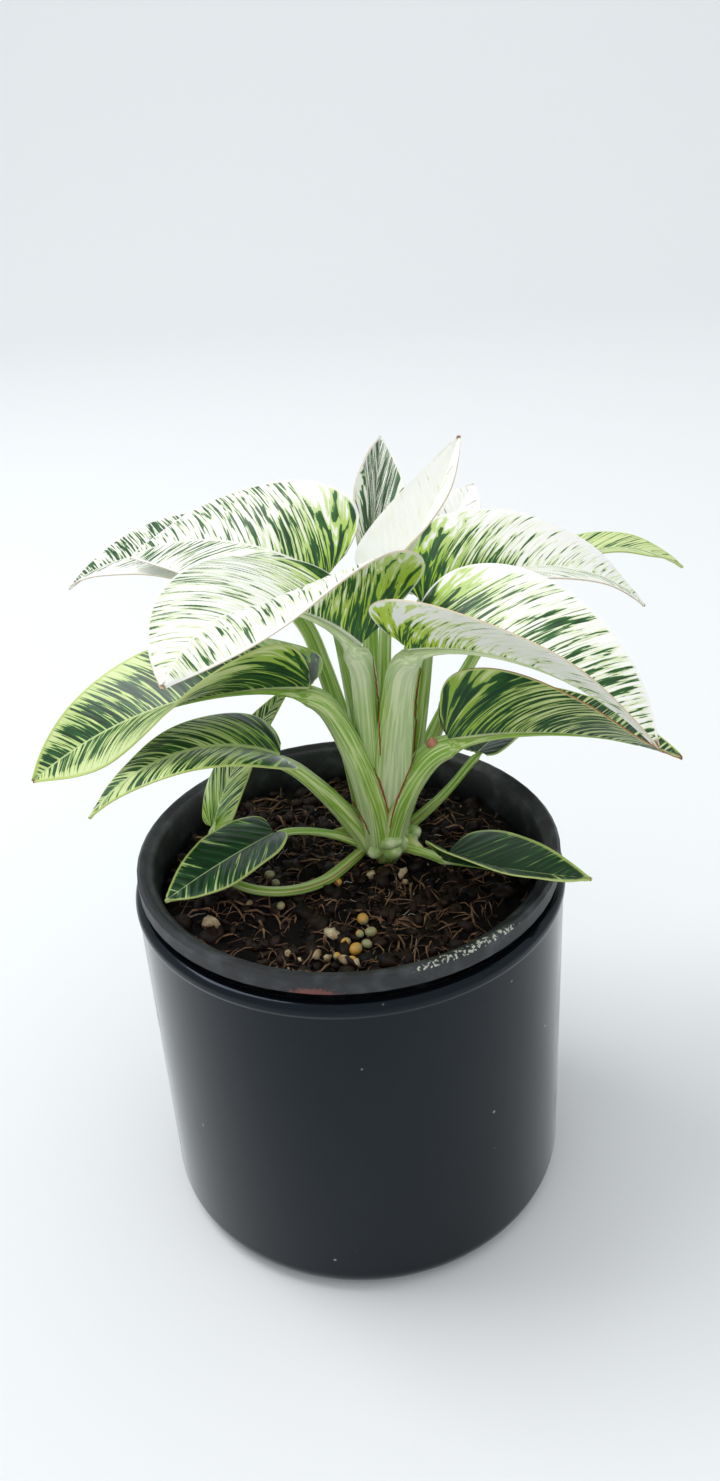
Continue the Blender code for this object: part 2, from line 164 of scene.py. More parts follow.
studio = {"paper": "#eef1f3", "dome": "#f9fafb", "domeStrength": 0.89,
          "key": (-0.75, 0.30, 1.6), "keyAim": (0, 0.02, 0.12), "keySize": 0.8, "keyWatts": 12.0,
          "sweepWide": 8.0, "sweepFront": -3.0, "sweepStart": 1.6, "sweepRadius": 0.9,
          "sweepTop": 3.2}


def makeStudio():
    look = studio
    world = bpy.data.worlds.new("studioDome")
    scene.world = world
    world.use_nodes = True
    setInputs(world.node_tree, world.node_tree.nodes["Background"], {"Color": look["dome"],
            "Strength": look["domeStrength"]})
    # matt paper
    paper, tree, shader = newMaterial("backdropPaper")
    setInputs(tree, shader, {"Base Color": look["paper"], "Roughness": 0.85, "IOR": 1.45,
            "Specular IOR Level": 0.15})
    bm = bmesh.new()
    profile = [(look["sweepFront"], 0.0), (look["sweepStart"], 0.0)]
    for k in range(1, 17):
        angle = math.radians(90 * k / 16)
        profile.append((look["sweepStart"] + look["sweepRadius"] * math.sin(angle),
                look["sweepRadius"] * (1 - math.cos(angle))))
    profile.append((profile[-1][0], look["sweepTop"]))
    points = [bm.verts.new((-look["sweepWide"] / 2, y, z)) for y, z in profile]
    edges = [bm.edges.new(pair) for pair in zip(points, points[1:])]
    made = bmesh.ops.extrude_edge_only(bm, edges=edges)["geom"]
    bmesh.ops.translate(bm, verts=[v for v in made if isinstance(v, bmesh.types.BMVert)],
            vec=(look["sweepWide"], 0, 0))
    bmesh.ops.recalc_face_normals(bm, faces=bm.faces)
    sweep = linkMesh("studioSweep", bm, [paper])
    data = bpy.data.lights.new("softbox", "AREA")
    data.size = look["keySize"]
    data.energy = look["keyWatts"]
    lamp = bpy.data.objects.new("softbox", data)
    lamp.location = look["key"]
    aim = Vector(look["keyAim"]) - lamp.location
    lamp.rotation_euler = aim.to_track_quat("-Z", "Y").to_euler()
    scene.collection.objects.link(lamp)
    scene.view_settings.view_transform = "Standard"


makeStudio()
print("studio set")

# millimetres
cachepot = {"radius": 66.2, "height": 115.3, "wall": 4.4, "floor": 5.0, "corner": 7.7,
            "band": 3.4, "bandRelief": 0.5, "sides": 192}


def makeGlaze():
    # glazed ceramic, fired glossy black: mirrors the pale room, a little hazy where handled
    material, tree, shader = newMaterial("glazedCeramicBlack")
    place = addNode(tree, "TexCoord", {})["Object"]
    smear = addNode(tree, "Mapping", {"Scale": (55, 55, 28), "Vector": place})[0]
    haze = addNode(tree, "TexNoise", {"Scale": 1.0, "Detail": 5.0, "Vector": smear})["Fac"]
    rough = addNode(tree, "MapRange", {"From Min": 0.45, "From Max": 0.75, "To Min": 0.08,
            "To Max": 0.20, "Value": haze})[0]
    # dust specks of about 0.4 mm, one every centimetre or so
    speck = addNode(tree, "TexVoronoi", {"Scale": 160.0, "Vector": place})
    dust = addNode(tree, "MapRange", {"From Min": 0.10, "From Max": 0.05,
            "Value": speck["Distance"]})[0]
    chance = addNode(tree, "SeparateColor", {"Color": speck["Color"]})[0]
    rare = addNode(tree, "MapRange", {"From Min": 0.86, "From Max": 0.88, "Value": chance})[0]
    dusty = addNode(tree, "Math", {0: dust, 1: rare}, operation="MULTIPLY")[0]
    tone = addNode(tree, "Mix", {"A": "#070c10", "B": "#7d868b", "Factor": dusty},
            data_type="RGBA")["Result"]
    # the glaze pools in very low waves of about 15 mm
    wave = addNode(tree, "TexNoise", {"Scale": 65.0, "Detail": 1.0, "Vector": place})["Fac"]
    bump = addNode(tree, "Bump", {"Strength": 0.08, "Distance": 0.25 * mm, "Height": wave})[0]
    # the sheen is a film of fine dust, pale at the sides
    setInputs(tree, shader, {"Base Color": tone, "Roughness": rough, "IOR": 1.52, "Normal": bump,
            "Specular IOR Level": 0.25, "Specular Tint": "#c4d9ec", "Sheen Weight": 0.08,
            "Sheen Roughness": 0.25, "Sheen Tint": "#dfe9f2"})
    return material


def heading(angle, pitch):
    return Vector((math.cos(angle) * math.cos(pitch), math.sin(angle) * math.cos(pitch),
            math.sin(pitch)))


def spinProfile(profile, sides):
    # turn a (radius, height) profile in millimetres once round the upright axis
    bm = bmesh.new()
    points = [bm.verts.new((r * mm, 0, z * mm)) for r, z in profile]
    edges = [bm.edges.new(pair) for pair in zip(points, points[1:])]
    bmesh.ops.spin(bm, geom=points + edges, cent=(0, 0, 0), axis=(0, 0, 1), angle=2 * math.pi,
            steps=sides, use_merge=True)
    bmesh.ops.remove_doubles(bm, verts=bm.verts, dist=1e-6)
    bmesh.ops.recalc_face_normals(bm, faces=bm.faces)
    return bm


def makeCachepot():
    form = cachepot
    radius, height, corner, wall = form["radius"], form["height"], form["corner"], form["wall"]
    inner, lip = radius - wall, wall / 2
    profile = [(0, 0), (radius - corner - 9, 0), (radius - corner - 8, 0.6), (radius - corner - 2,
            0.6), (radius - corner - 1, 0)]
    for step in range(13):
        angle = math.radians(7.5 * step)
        profile.append((radius - corner + corner * math.sin(angle),
                corner - corner * math.cos(angle)))
    profile += [(radius, height - form["band"] - 1.2), (radius + 0.05, height - form["band"] -
            0.8), (radius + form["bandRelief"] - 0.05, height - form["band"] - 0.2), (radius +
            form["bandRelief"], height - form["band"] + 0.3)]
    for step in range(17):
        angle = math.radians(11.25 * step)
        relief = form["bandRelief"] * max(0.0, math.cos(angle))
        profile.append((radius - lip + lip * math.cos(angle) + relief,
                height - lip + lip * math.sin(angle)))
    profile += [(inner, form["floor"] + 6), (inner - 1.8, form["floor"] + 1.8), (inner - 6,
            form["floor"]), (0, form["floor"])]
    return finishPiece("glazedCachepot", spinProfile(profile, form["sides"]), [makeGlaze()],
            ["cachepot"], 50)


makeCachepot()
print("cachepot turned")

def makePlastic():
    # moulded polypropylene: dull dark grey with a fine matt skin, dusty, chalk where watered
    material, tree, shader = newMaterial("mouldedPolypropylene")
    place = addNode(tree, "TexCoord", {})["Object"]
    cloud, fleck, skin = (addNode(tree, "TexNoise", {"Scale": scale, "Detail": detail,
            "Vector": place})["Fac"] for scale, detail in ((140, 6), (1150, 3), (1500, 2)))
    # chalk from hard water along the right front of the rim
    split = addNode(tree, "SeparateXYZ", {"Vector": place})
    rightFront = addNode(tree, "Math", {0: split["Y"], 1: -1.87, 2: split["X"]},
            operation="MULTIPLY_ADD")[0]
    where, high = (addNode(tree, "MapRange", {"From Min": start, "From Max": end,
            "Value": value})[0] for value, start, end in ((rightFront, 0.1235, 0.1335),
            (split["Z"], 0.1222, 0.1228)))
    wet = addNode(tree, "Math", {0: where, 1: high}, operation="MULTIPLY")[0]
    chalk = addNode(tree, "Math", {0: wet, 1: 0.5, 2: fleck}, operation="MULTIPLY_ADD")[0]
    # a rusty scuff low on the front of the rim
    scuffAt = addNode(tree, "Mapping", {"Location": (-0.012, -0.0645, 0.1185), "Vector": place,
            "Scale": (0.0085, 0.005, 0.0022)}, vector_type="TEXTURE")[0]
    near = addNode(tree, "VectorMath", {0: scuffAt}, operation="LENGTH")["Value"]
    ragged = addNode(tree, "Math", {0: fleck, 1: -1.6, 2: near}, operation="MULTIPLY_ADD")[0]
    tone = "#15191d"
    # dust, chalk, scuff
    for colour, value, start, end, most in (("#494f54", cloud, 0.48, 0.78, 0.7),
            ("#c9cdbd", chalk, 1.00, 1.08, 0.75), ("#7c4238", ragged, 0.12, -0.25, 0.7)):
        share = addNode(tree, "MapRange", {"From Min": start, "From Max": end, "To Max": most,
                "Value": value})[0]
        tone = addNode(tree, "Mix", {"A": tone, "B": colour, "Factor": share},
                data_type="RGBA")["Result"]
    bump = addNode(tree, "Bump", {"Strength": 0.3, "Distance": 0.1 * mm, "Height": skin})[0]
    setInputs(tree, shader, {"Base Color": tone, "Roughness": 0.5, "IOR": 1.49, "Normal": bump})
    return material


def makeNurseryPot():
    # a copy of the solid's own mesh, merged so that it shades smoothly
    bm = bmesh.new()
    bm.from_mesh(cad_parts["nursery_pot"].data)
    bmesh.ops.remove_doubles(bm, verts=bm.verts, dist=2e-6)
    return finishPiece("nurseryPotShell", bm, [makePlastic()],
            ["nursery_pot"], 28)


makeNurseryPot()
print("nursery pot dressed")

# millimetres; a bit at a pixel of the photograph has its size as the third number
pottingMix = {"level": 112.0, "reach": 58.0, "rings": 60, "seed": 11, "chips": 1000,
        "fibres": 600, "grit": 70, "rootHairs": 30, "bigChips": ((332, 872, 4.5), (322, 868, 3.0),
        (342, 876, 3.2), (300, 900, 2.8), (420, 905, 2.6), (255, 905, 2.2), (452, 900, 2.6), (390,
        940, 2.4)), "bigGrit": ((211, 925, 2.7), (332, 936, 2.4), (371, 877, 1.8), (403, 875,
        2.1), (317, 957, 1.6), (328, 960, 1.5), (288, 956, 1.3), (344, 962, 1.7), (405, 884, 1.2),
        (357, 965, 1.3), (250, 905, 1.2), (300, 962, 1.0)), "beads": ((363, 921, 2.0), (371, 934,
        1.8), (356, 951, 2.1), (346, 944, 1.5), (367, 946, 1.6), (360, 936, 1.4), (352, 962, 1.4),
        (337, 958, 1.2), (270, 877, 1.7), (276, 885, 1.4), (281, 908, 1.5), (338, 884, 1.5))}
crown = Vector((0.0120, 0.0150, 0.0))


def soilHeight(x, y):
    point = Vector((x, y, 0))
    lumps = noise.noise(point * 120 + Vector((3.1, 7.7, 1.9)))
    crumbs = noise.noise(point * 320 + Vector((3.1, 7.7, 1.9)))
    grains = (noise.noise(point * 260) * 0.9 + noise.noise(point * 700) * 0.5 +
            noise.noise(point * 1900) * 0.2)
    calm = min(1.0, max(0.0, (point - crown).length - 0.012) / 0.012)
    edge = max(0.0, (point.length - 0.045) / 0.014)
    return 0.112 + calm * 0.0016 * (0.8 * lumps + 0.5 * crumbs) - 0.0012 * edge + 0.0011 * grains


def makeEarth(name, dark, light, size, roughness):
    # peat, composted bark and coir: almost black, a little brown where it has dried; on the soil
    # surface the near black is partly painted shade of the gaps between crumbs
    return makeMottled(name, dark, light, 1.0 / (size * mm), 6.0, (0.35, 0.72), (0.6, 0.6),
            grainRoughness=0.65, roughness=roughness, ior=1.4, specular=0.3)


def makeSoil():
    form = pottingMix
    reach, level, rings = form["reach"], form["level"], form["rings"]
    rows = [(0, 8.5), (45.5, 8.5), (47.0, 10.0), (reach, 106.0), (reach, 110.0)]
    rows += [(reach * (1 - k / rings), level) for k in range(rings + 1)]
    bm = spinProfile(rows, 180)
    for vert in bm.verts:
        if vert.co.z > (level - 0.1) * mm:
            vert.co.z = soilHeight(vert.co.x, vert.co.y)
    bmesh.ops.recalc_face_normals(bm, faces=bm.faces)
    # the soil surface under the crumbs: dark peat, darkened to near black as painted shade of the
    # gaps between crumbs
    peat = makeEarth("peatAndGapShade", "#020202", "#120d0a", 1.8, 0.92)
    finishPiece("soilSurface", bm, [peat], ["soil"])


def soilPlace(rand, reach):
    while True:
        x, y = rand.uniform(-reach, reach), rand.uniform(-reach, reach)
        spot = Vector((x, y, 0)) * mm
        if spot.length < reach * mm and (spot - crown).length > 0.010:
            return Vector((spot.x, spot.y, soilHeight(spot.x, spot.y)))


def addLump(bm, rand, spot, size, flat, detail=1):
    # one crumb: a ball pressed and turned at random, its corners knocked about
    turn = (Matrix.Rotation(rand.uniform(0, 6.3), 4, "Z")
            @ Matrix.Rotation(rand.uniform(-0.9, 0.9), 4, "X")
            @ Matrix.Rotation(rand.uniform(-0.9, 0.9), 4, "Y"))
    stretch = Matrix.Diagonal((size, size * rand.uniform(0.45, 0.9), size * flat, 1))
    made = bmesh.ops.create_icosphere(bm, subdivisions=detail, radius=1.0,
            matrix=Matrix.Translation(spot) @ turn @ stretch)["verts"]
    for vert in made:
        vert.co += Vector([rand.uniform(-0.22, 0.22) * size for _ in range(3)])


def ballOn(bm, place, turn, wide, deep, tall, detail):
    # a ball pressed to these half lengths in millimetres and turned about the upright axis
    bmesh.ops.create_icosphere(bm, subdivisions=detail, radius=1.0,
            matrix=Matrix.Translation(place) @ Matrix.Rotation(turn, 4, "Z") @
            Matrix.Diagonal((wide * mm, deep * mm, tall * mm, 1)))


def extrudeLoop(bm, edges):
    # the new points and edges of the strip
    made = bmesh.ops.extrude_edge_only(bm, edges=edges)["geom"]
    points = [g for g in made if isinstance(g, bmesh.types.BMVert)]
    return points, [g for g in made if isinstance(g, bmesh.types.BMEdge) and
            all(v in points for v in g.verts)]


def addStrand(bm, points, radii, sides=4):
    # a thin strand swept along its points
    loop = bmesh.ops.create_circle(bm, segments=sides, radius=1.0)["verts"]
    edges = list({edge for vert in loop for edge in vert.link_edges})
    order = [loop]
    for _ in points[1:]:
        ring, edges = extrudeLoop(bm, edges)
        order.append(ring)
    for k, ring in enumerate(order):
        forward = (points[min(k + 1, len(points) - 1)] - points[max(0, k - 1)]).normalized()
        side = forward.orthogonal().normalized() if abs(forward.z) > 0.9 else Vector(
            (-forward.y, forward.x, 0)).normalized()
        up = forward.cross(side)
        for vert in ring:
            # every ring still lies on the first circle, so its own angle is read from there
            angle = math.atan2(vert.co.y, vert.co.x)
            vert.co = points[k] + (side * math.cos(angle) + up * math.sin(angle)) * radii[k]


def makeChipsAndGrit(form, rand):
    bm = bmesh.new()
    for _ in range(form["chips"]):
        spot = soilPlace(rand, 57)
        size = rand.choice((0.8, 1.2, 1.8, 2.6, 3.8)) * rand.uniform(0.7, 1.2)
        addLump(bm, rand, spot + Vector((0, 0, rand.uniform(-0.3, 0.9) * mm)), size * mm,
                rand.uniform(0.22, 0.6))
    for px, py, size in form["bigChips"]:
        spot = spotOn(px, py, form["level"] * mm)
        addLump(bm, rand, spot + Vector((0, 0, 0.6 * mm)), size * mm, 0.45, 2)
    finishPiece("barkChips", bm, [makeEarth("barkChips", "#030202", "#33231a", 7.0, 0.55)])

    bm = bmesh.new()
    for _ in range(form["grit"]):
        addLump(bm, rand, soilPlace(rand, 56) + Vector((0, 0, 0.3 * mm)),
                rand.uniform(0.25, 0.7) * mm, rand.uniform(0.5, 0.8))
    for px, py, size in form["bigGrit"]:
        spot = spotOn(px, py, (form["level"] + 1) * mm)
        addLump(bm, rand, spot + Vector((0, 0, 0.8 * mm)), size * mm, 0.7, 2)
    finishPiece("pumiceGrit", bm, [makeEarth("pumiceGrit", "#8a6a44", "#e0d3b4", 3.5, 0.8)])

    # slow-release beads: waxy amber resin, some weathered grey-green
    resin = makeMottled("resinCoatedFertiliser", "#c8993f", "#9a9a70", 130.0, 1.0, (0.48, 0.54),
            roughness=0.35, ior=1.5)
    bm = bmesh.new()
    for px, py, size in form["beads"]:
        spot = spotOn(px, py, (form["level"] + 1) * mm) + Vector((0, 0, 0.8 * mm))
        ballOn(bm, spot, px, size, size * 0.85, size * 0.8, 3)
    finishPiece("fertiliserBeads", bm, [resin])


def makeFibres(form, rand):
    # coconut coir: stiff red-brown hairs lying every way on the mix
    bm = bmesh.new()
    for _ in range(form["fibres"]):
        spot = soilPlace(rand, 55)
        angle, bend = rand.uniform(0, 6.3), rand.uniform(-2.6, 2.6)
        length = rand.uniform(3, 14) * mm
        lift = rand.uniform(0.3, 2.4) * mm
        points = []
        for k in range(6):
            share = k / 5
            points.append(spot.copy())
            step = Vector((math.cos(angle + bend * share), math.sin(angle + bend * share), 0))
            spot = spot + step * length / 5
            if Vector((spot.x, spot.y)).length > 0.0575:  # the pot's wall is just outside
                spot = points[-1] + step * 0.2 * mm
            spot.z = soilHeight(spot.x, spot.y) + lift * math.sin(math.pi * min(1, share + 0.2))
        width = rand.choice((0.12, 0.16, 0.24, 0.38)) * rand.uniform(0.8, 1.2) * mm
        addStrand(bm, points, [width * w for w in (0.5, 1, 1, 0.9, 0.7, 0.3)])
    finishPiece("coirFibres", bm, [makeEarth("coirFibre", "#1e130d", "#b08a6a", 5.0, 0.65)])

    # fresh pale rootlets, slightly waxy
    hair = makeMottled("rootHair", "#b9b2a2", "#e9e6dc", 300.0, roughness=0.5, ior=1.4)
    bm = bmesh.new()
    for _ in range(form["rootHairs"]):
        spot = soilPlace(rand, 48)
        angle, bend = rand.uniform(0, 6.3), rand.uniform(-2.5, 2.5)
        length = rand.uniform(3, 9) * mm
        points = []
        for k in range(7):
            points.append(spot + Vector((0, 0, 0.5 * mm)))
            spot = spot + heading(angle + bend * k / 6, 0) * length / 6
            spot.z = soilHeight(spot.x, spot.y)
        addStrand(bm, points, [0.09 * mm] * 6 + [0.03 * mm])
    finishPiece("rootHairs", bm, [hair])


makeSoil()
rand = random.Random(pottingMix["seed"])
makeChipsAndGrit(pottingMix, rand)
makeFibres(pottingMix, rand)
print("potting mix laid")

# One row for each leaf, in millimetres and degrees, as in the part:
# foot; stalk heading, length, pitch low, pitch high, turn; girth low, high;
# blade turn, pitch base, pitch tip, bend, length, half width; fold, roll; curl.
leaves = {
    "leaf_front_left": ((10, 8, 124), (231, 62, 85, 89, 1), (4.6, 4.4), (-25, 53, -24, 44, 88,
        32.5), (68, -10), (26, -18), 30),
    "leaf_front_right": ((14, 9, 124), (-68, 68, 84, 69, -2), (5.2, 4.2), (38, 18, -43, 2, 78,
        29), (40, 42), (-10, 3), 3),
    "leaf_newest_upright": ((12, 13, 124), (68, 73, 82, 82, -9), (3, 2), (-20, 39, 63, 0, 51,
        14.5), (52, 25), (-11, 7), 7),
    "leaf_young_rear_right": ((13, 22, 122), (66, 68, 65, 52, -7), (3, 2), (-7, 55, 11, 10, 50,
        15), (29, 18), (3, 10), 11),
    "leaf_rear_upright": ((11, 22, 121), (90, 73, 70, 58, -6), (4, 2.6), (-11, 63, 34, 8, 52,
        14.5), (54, 27), (41, 15), 2),
    "leaf_upper_right": ((17, 17, 121), (43, 67, 68, 82, 10), (4.4, 3.4), (-41, 33, -48, 0, 81,
        27), (42, 11), (7, 13), 16),
    "leaf_rear_left": ((9, 19, 121), (126, 78, 84, 74, 1), (4.2, 3), (31, 31, -27, 0, 71, 26.5),
        (37, 1), (-25, -18), 19),
    "leaf_far_left": ((7, 20, 119), (121, 71, 74, 54, 3), (4.2, 2.8), (27, 32, -38, 0, 100, 24),
        (33, 15), (-2, -26), 16),
    "leaf_far_right": ((18, 20, 119), (49, 87, 53, 29, -7), (3.4, 2), (-18, 31, -38, -12, 69,
        12.5), (21, 15), (-22, 25), 16),
    "leaf_lower_left": ((10, 7, 118), (190, 60, 88, 59, -2), (5.2, 4), (-21, 2, -36, 22, 94, 31),
        (31, 14), (32, -45), 14),
    "leaf_lower_right": ((12.5, 6.5, 116.5), (6, 41, 84, 39, 0), (5, 4.4), (-2, 7, -27, -5, 77,
        24), (57, 17), (-42, 7), 3),
    "leaf_low_left": ((7, 8, 116), (192, 45, 65, 46, 2), (3.6, 2.6), (6, 40, -46, 1, 65, 18), (27,
        2), (-4, 10), 24),
    "leaf_on_curled_stalk": ((-4, -5, 115.5), (233, 63, 1, 9, -162), (1.9, 1.6), (-41, 70, 33, 0,
        54, 9.5), (13, 11), (1, 6), 20),
    "leaf_small_left": ((6, 8, 115.5), (199, 33, 42, 13, 5), (2, 1.4), (5, -7, -20, 0, 40, 14.5),
        (20, 7), (15, -25), 17),
    "leaf_small_right": ((16, 7, 115.8), (-40, 17, 7, 3, -4), (2.2, 1.6), (0, 13, 13, 9, 52,
        15.5), (37, 23), (-23, 12), 9),
    "leaf_small_rear": ((18, 16, 115.8), (17, 34, 26, 46, 11), (2.2, 1.5), (18, 13, -25, 3, 32,
        9), (18, 11), (-10, -3), 18),
}
# How each leaf is marked. green: share of dark green on its left and right half (looking from
# the stalk to the tip); lime: yellow-green round the dark; base, edge, tip: extra green there;
# baseReach: how far up the base's green goes; rib: half width of the pale midrib in mm;
# margin: width of the pale margin in mm; brown: length of the dry tip in mm;
# sweep: how far the side veins lean to the tip; pale: stripes on white; red: a red margin.
usualMarks = dict(base=0.1, baseReach=0.32, edge=(0, 0), tip=0.0, rib=0.5, margin=0.9, brown=0.5,
                  sweep=0.7, pale=False, red=False)
marks = {
    "leaf_front_left": dict(green=(0.34, 0.3), lime=(1.0, 1.0), base=0.5, edge=(-0.1, 0.15),
        rib=0.8, brown=1.0, sweep=0.6),
    "leaf_front_right": dict(green=(0.46, 0.2), lime=(0.9, 1.0), base=0.25, edge=(-0.25, -0.05),
        rib=0.7, brown=3.0, sweep=0.6),
    "leaf_newest_upright": dict(green=(0.0, 0.04), lime=(0.6, 0.6), base=0.15, tip=0.14,
        margin=0.4, brown=1.2, sweep=1.3),
    "leaf_young_rear_right": dict(green=(0.14, 0.12), lime=(0.4, 0.4), base=0.2, margin=0.4,
        brown=0.3, sweep=1.2),
    "leaf_rear_upright": dict(green=(0.54, 0.54), lime=(0.5, 0.5), edge=(-0.1, -0.1), margin=0.6,
        brown=0.3, sweep=5.0, pale=True),
    "leaf_upper_right": dict(green=(0.3, 0.38), lime=(1.0, 1.0), base=0.5, baseReach=0.5,
        edge=(-0.2, -0.05), rib=0.8, brown=1.5, sweep=0.9),
    "leaf_rear_left": dict(green=(0.38, 0.4), lime=(0.8, 0.8), base=0.2, edge=(-0.05, 0.0),
        rib=0.8, brown=0.8),
    "leaf_far_left": dict(green=(0.44, 0.5), lime=(0.6, 0.6), base=0.15, edge=(-0.5, 0.0),
        rib=0.8, sweep=0.9, pale=True),
    "leaf_far_right": dict(green=(0.5, 0.46), lime=(0.9, 0.9), tip=-0.2, rib=0.6, margin=0.6,
        sweep=2.2),
    "leaf_lower_left": dict(green=(0.56, 0.64), lime=(0.9, 1.0), edge=(-0.4, -0.35), rib=0.9,
        brown=1.0, sweep=0.6),
    "leaf_lower_right": dict(green=(0.6, 0.5), lime=(0.7, 1.0), base=0.12, tip=0.05, rib=0.7,
        margin=0.6, brown=2.5, sweep=0.8, red=True),
    "leaf_low_left": dict(green=(0.52, 0.58), lime=(1.0, 0.8), edge=(0.0, -0.1), rib=1.6,
        margin=0.7, sweep=0.8),
    "leaf_on_curled_stalk": dict(green=(0.5, 0.5), lime=(1.0, 1.0), base=0.0, margin=0.5,
        sweep=1.6),
    "leaf_small_left": dict(green=(0.88, 0.88), lime=(1.0, 1.0), base=0.0, edge=(-0.15, -0.15),
        tip=-0.12, rib=0.4, margin=0.7, brown=0.0),
    "leaf_small_right": dict(green=(0.88, 0.84), lime=(1.0, 1.0), base=0.0, edge=(-0.15, -0.15),
        margin=1.0, sweep=1.2),
    "leaf_small_rear": dict(green=(0.92, 0.92), lime=(0.4, 0.4), base=0.0, rib=0.4, margin=0.5,
        brown=0.0),
}
leafForm = {"alongSteps": 120, "acrossSteps": 72, "edgeThick": 0.45, "ribThick": 1.3,
            "veinSpacing": 3.4, "veinDepth": 0.10, "waver": 0.5, "tipShare": 0.997}
whiteLeaves = ("leaf_front_left", "leaf_front_right", "leaf_newest_upright",
        "leaf_young_rear_right", "leaf_upper_right", "leaf_rear_left")
# Each skin's colours: white, lime round the dark, dark and deepest green, rib, margin and the
# faint wash in the white; dash: dashes a mm across and along the vein; patchy: how much the
# green thickens and thins.
leafSkins = {
    "leafCuticleWhite": dict(white="#fafaf5", lime="#a9cc38", dark="#2c6527", deep="#153f1d",
                             rib="#f3f5e8", margin="#f7f8f2", faint="#e6eecf", roughness=0.36,
                             dash=(1.0, 0.085, 1.0), patchy=0.42),
    "leafCuticleGreen": dict(white="#dbe8ae", lime="#93bd36", dark="#265f29", deep="#12381e",
                             rib="#c6d898", margin="#b9cd72", faint="#b0ca6c", roughness=0.30,
                             dash=(0.95, 0.050, 1.0), patchy=0.22),
    "leafUndersideWhite": dict(white="#f9faf2", lime="#b4cf48", dark="#3a7030", deep="#214e26",
                               rib="#f0f4e0", margin="#f4f6ea", faint="#e6eecb", roughness=0.46,
                               dash=(1.0, 0.085, 1.0), patchy=0.42),
    "leafUndersideGreen": dict(white="#d8e2aa", lime="#9aba45", dark="#2c5c2a", deep="#183f21",
                               rib="#cdd8a2", margin="#c6d48a", faint="#b9ce76", roughness=0.42,
                               dash=(0.95, 0.050, 1.0), patchy=0.22),
}


def makeLeafSkin(name):
    # leaf cuticle: a waxy, half-glossy skin; the variegation runs in dashes along the side veins
    look = leafSkins[name]
    material, tree, shader = newMaterial(name)
    vein, paint, reach = (addNode(tree, "Attribute", {}, attribute_name=text)["Vector"] for text
            in ("vein", "paint", "reach"))
    paint, reach = (addNode(tree, "SeparateXYZ", {"Vector": v}) for v in (paint, reach))
    # noises along the veins, in millimetres: dashes 1 to 2 mm apart and 8 to 15 mm long, broad
    # patches of about 15 mm, a faint wash in the white, skin cells drawn at 0.4 mm so they show
    dash, patch, wash, grain = (addNode(tree, "TexNoise", {"Scale": 1.0, **more,
            "Vector": addNode(tree, "Mapping", {"Scale": stretch, "Vector": vein})[0]})["Fac"] for
            stretch, more in ((look["dash"], {"Detail": 2.5, "Roughness": 0.55,
            "Distortion": 0.45}), ((0.075, 0.055, 1.0), {"Detail": 1.0}), ((0.35, 0.06, 1.0),
            {"Detail": 3.0}), ((2.4, 1.3, 1.0), {"Detail": 3.0})))
    share = addNode(tree, "Math", {0: patch, 1: look["patchy"], 2: paint["X"]},
            operation="MULTIPLY_ADD")[0]
    cut = 0.74 + 0.25 * look["patchy"]  # above this level the skin is green
    level = addNode(tree, "Math", {0: share, 1: 0.50, 2: dash}, operation="MULTIPLY_ADD")[0]
    wider = addNode(tree, "Math", {0: paint["Y"], 1: 0.13, 2: level}, operation="MULTIPLY_ADD")[0]
    darkShare, deepShare, halo = (addNode(tree, "MapRange", {"From Min": cut + low,
            "From Max": cut + high, "Value": value}, interpolation_type="SMOOTHSTEP")[0] for
            value, low, high in ((level, 0, 0.035), (level, 0.05, 0.16), (wider, -0.045, 0.045)))
    haloShare = addNode(tree, "Math", {0: halo, 1: paint["Y"]}, operation="MULTIPLY")[0]
    # the wash, the pale margin and midrib, and the dry brown tip
    washShare, marginShare, ribShare, tipShare = (addNode(tree, "MapRange", {"From Min": low,
            "From Max": high, "To Max": most, "Value": value})[0] for value, low, high, most in
            ((wash, 0.42, 0.75, 0.3), (reach["X"], 1.2, 0.7, 0.85), (reach["Y"], 1.15, 0.75, 0.9),
            (reach["Z"], 1.0, 0.4, 1.0)))
    green = addNode(tree, "Mix", {"A": look["dark"], "B": look["deep"], "Factor": deepShare},
            data_type="RGBA")["Result"]
    tone = look["white"]
    for colour, share in ((look["faint"], washShare), (look["lime"], haloShare),
                          (green, darkShare), (look["margin"], marginShare),
                          (look["rib"], ribShare), ("#8f6a45", tipShare)):
        tone = addNode(tree, "Mix", {"A": tone, "B": colour, "Factor": share},
                data_type="RGBA")["Result"]
    # the cells lie over the dashes' own low relief
    relief = addNode(tree, "Math", {0: grain, 1: 0.35, 2: dash}, operation="MULTIPLY_ADD")[0]
    bump = addNode(tree, "Bump", {"Strength": 0.35, "Distance": 0.4 * mm, "Height": relief})[0]
    setInputs(tree, shader, {"Base Color": tone, "Roughness": look["roughness"], "IOR": 1.45,
            "Normal": bump, "Subsurface Weight": 0.28, "Subsurface Radius": (1.0, 1.0, 0.5),
            "Subsurface Scale": 1.2 * mm})
    return material


def makeLeafEdge(name, first, second):
    # the cut-thin margin of the blade, dry
    return makeMottled(name, first, second, 0.3, attribute="vein", roughness=0.5, ior=1.45)


paleSkins = [makeLeafSkin("leafCuticleWhite"), makeLeafSkin("leafUndersideWhite")]
greenSkins = [makeLeafSkin("leafCuticleGreen"), makeLeafSkin("leafUndersideGreen")]
whiteEdge = makeLeafEdge("leafMarginWhite", "#e6e4cd", "#c9ab84")
greenEdge = makeLeafEdge("leafMarginGreen", "#c4cf84", "#a5b768")
redEdge = makeLeafEdge("leafMarginRed", "#8a4a2c", "#b98a55")


